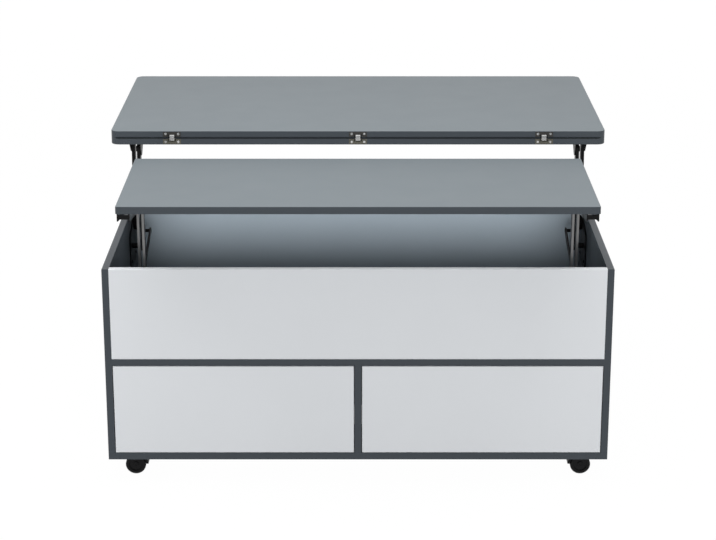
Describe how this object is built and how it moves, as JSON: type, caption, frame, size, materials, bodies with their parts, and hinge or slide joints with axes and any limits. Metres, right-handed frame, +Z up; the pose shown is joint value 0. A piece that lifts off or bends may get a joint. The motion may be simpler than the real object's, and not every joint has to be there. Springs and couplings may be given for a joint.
{
  "type": "convertible coffee dining table",
  "caption": "Wheeled storage coffee table with drawers; its double top lifts back and unfolds forward over a rising support panel to make a dining table.",
  "frame": {"origin": "on the floor below the middle of the cabinet", "axes": "+Z up, +X to the right seen from the front, front towards -Y"},
  "size_m": [1.1, 1.0748, 0.7333],
  "materials": {
    "grey_laminate": "satin laminate",
    "white_laminate": "satin laminate",
    "drawer_board": "matt laminate",
    "black_steel": "powder coat",
    "zinc_steel": "zinc plated",
    "black_plastic": "moulded",
    "wheel_plastic": "moulded"
  },
  "bodies": {
    "cabinet": {"side_panel_left": "grey_laminate", "side_panel_right": "grey_laminate", "bottom_panel": "grey_laminate", "storage_floor": "grey_laminate", "center_divider": "grey_laminate", "front_panel": "white_laminate", "back_panel": "grey_laminate", "cabinet_runners": "zinc_steel", "lift_base_plate_left": "black_steel", "lift_base_plate_right": "black_steel", "support_base_plate_left": "black_steel", "support_base_plate_right": "black_steel", "base_pivot_pins": "black_steel", "caster_plates": "zinc_steel", "caster_stems": "zinc_steel"},
    "lift_front_arms": {"lift_front_arm_left": "black_steel", "lift_front_arm_right": "black_steel"},
    "lift_rear_arms": {"lift_rear_arm_left": "black_steel", "lift_rear_arm_right": "black_steel"},
    "table_top": {"lower_leaf": "grey_laminate", "top_bracket_left": "black_steel", "top_bracket_right": "black_steel", "top_pivot_pins": "black_steel", "hinge_plates_lower": "zinc_steel"},
    "flip_links": {"hinge_links": "zinc_steel"},
    "flip_leaf": {"upper_leaf": "grey_laminate", "hinge_plates_upper": "zinc_steel"},
    "support_front_arms": {"support_front_arm_left": "black_steel", "support_front_arm_right": "black_steel"},
    "support_rear_arms": {"support_rear_arm_left": "black_steel", "support_rear_arm_right": "black_steel"},
    "support_top": {"support_panel": "grey_laminate", "support_rail_left": "black_steel", "support_rail_right": "black_steel", "support_pivot_pins": "black_steel"},
    "sync_links": {"sync_links": "black_steel"},
    "drawer_left": {"drawer_front_left": "white_laminate", "drawer_inner_side_left": "drawer_board", "drawer_outer_side_left": "drawer_board", "drawer_back_left": "drawer_board", "drawer_base_left": "drawer_board", "drawer_runners_left": "zinc_steel"},
    "drawer_right": {"drawer_front_right": "white_laminate", "drawer_inner_side_right": "drawer_board", "drawer_outer_side_right": "drawer_board", "drawer_back_right": "drawer_board", "drawer_base_right": "drawer_board", "drawer_runners_right": "zinc_steel"},
    "caster_front_left": {"caster_fork_front_left": "black_plastic", "caster_axle_front_left": "black_steel"},
    "wheels_front_left": {"caster_wheels_front_left": "wheel_plastic"},
    "caster_front_right": {"caster_fork_front_right": "black_plastic", "caster_axle_front_right": "black_steel"},
    "wheels_front_right": {"caster_wheels_front_right": "wheel_plastic"},
    "caster_rear_left": {"caster_fork_rear_left": "black_plastic", "caster_axle_rear_left": "black_steel"},
    "wheels_rear_left": {"caster_wheels_rear_left": "wheel_plastic"},
    "caster_rear_right": {"caster_fork_rear_right": "black_plastic", "caster_axle_rear_right": "black_steel"},
    "wheels_rear_right": {"caster_wheels_rear_right": "wheel_plastic"}
  },
  "joints": [
    {"name": "lift", "type": "hinge", "parent": "cabinet", "child": "lift_front_arms", "pos_m": [0, 0.15, 0.41], "axis": [1, 0, 0], "range_deg": [0, 89.3]},
    {"name": "lift_rear", "type": "hinge", "parent": "cabinet", "child": "lift_rear_arms", "pos_m": [0, 0.19, 0.45], "axis": [1, 0, 0], "range_deg": [0, 89.3]},
    {"name": "top_level", "type": "hinge", "parent": "lift_front_arms", "child": "table_top", "pos_m": [0, 0.16618, 0.64143], "axis": [-1, 0, 0], "range_deg": [0, 89.3]},
    {"name": "support_swing", "type": "hinge", "parent": "cabinet", "child": "support_rear_arms", "pos_m": [0, -0.185, 0.378], "axis": [-1, 0, 0], "range_deg": [0, 89.3]},
    {"name": "support_swing_front", "type": "hinge", "parent": "cabinet", "child": "support_front_arms", "pos_m": [0, -0.225, 0.418], "axis": [-1, 0, 0], "range_deg": [0, 89.3]},
    {"name": "support_level", "type": "hinge", "parent": "support_rear_arms", "child": "support_top", "pos_m": [0, -0.20244, 0.62739], "axis": [1, 0, 0], "range_deg": [0, 89.3]},
    {"name": "sync_level", "type": "hinge", "parent": "lift_front_arms", "child": "sync_links", "pos_m": [0, 0.17811, 0.43846], "axis": [-1, 0, 0], "range_deg": [0, 89.3]},
    {"name": "flip", "type": "hinge", "parent": "table_top", "child": "flip_links", "pos_m": [0, -0.0396, 0.71498], "axis": [1, 0, 0], "range_deg": [0, 90]},
    {"name": "flip_leaf_turn", "type": "hinge", "parent": "flip_links", "child": "flip_leaf", "pos_m": [0, -0.0396, 0.72137], "axis": [1, 0, 0], "range_deg": [0, 90]},
    {"name": "drawer_left_slide", "type": "slide", "parent": "cabinet", "child": "drawer_left", "axis": [0, -1, 0], "range_m": [0, 0.34]},
    {"name": "drawer_right_slide", "type": "slide", "parent": "cabinet", "child": "drawer_right", "axis": [0, -1, 0], "range_m": [0, 0.34]},
    {"name": "swivel_front_left", "type": "hinge", "parent": "cabinet", "child": "caster_front_left", "pos_m": [-0.485, -0.236, 0.0475], "axis": [0, 0, 1], "continuous": true},
    {"name": "roll_front_left", "type": "hinge", "parent": "caster_front_left", "child": "wheels_front_left", "pos_m": [-0.495, -0.236, 0.0225], "axis": [0, 1, 0], "continuous": true},
    {"name": "swivel_front_right", "type": "hinge", "parent": "cabinet", "child": "caster_front_right", "pos_m": [0.485, -0.236, 0.0475], "axis": [0, 0, 1], "continuous": true},
    {"name": "roll_front_right", "type": "hinge", "parent": "caster_front_right", "child": "wheels_front_right", "pos_m": [0.495, -0.236, 0.0225], "axis": [0, 1, 0], "continuous": true},
    {"name": "swivel_rear_left", "type": "hinge", "parent": "cabinet", "child": "caster_rear_left", "pos_m": [-0.485, 0.236, 0.0475], "axis": [0, 0, 1], "continuous": true},
    {"name": "roll_rear_left", "type": "hinge", "parent": "caster_rear_left", "child": "wheels_rear_left", "pos_m": [-0.495, 0.236, 0.0225], "axis": [0, 1, 0], "continuous": true},
    {"name": "swivel_rear_right", "type": "hinge", "parent": "cabinet", "child": "caster_rear_right", "pos_m": [0.485, 0.236, 0.0475], "axis": [0, 0, 1], "continuous": true},
    {"name": "roll_rear_right", "type": "hinge", "parent": "caster_rear_right", "child": "wheels_rear_right", "pos_m": [0.495, 0.236, 0.0225], "axis": [0, 1, 0], "continuous": true}
  ],
  "couplings": [
    {"joint": "lift_rear", "follows": "lift", "ratio": 1},
    {"joint": "top_level", "follows": "lift", "ratio": 1},
    {"joint": "support_swing", "follows": "lift", "ratio": 1},
    {"joint": "support_swing_front", "follows": "lift", "ratio": 1},
    {"joint": "support_level", "follows": "lift", "ratio": 1},
    {"joint": "sync_level", "follows": "lift", "ratio": 1}
  ]
}
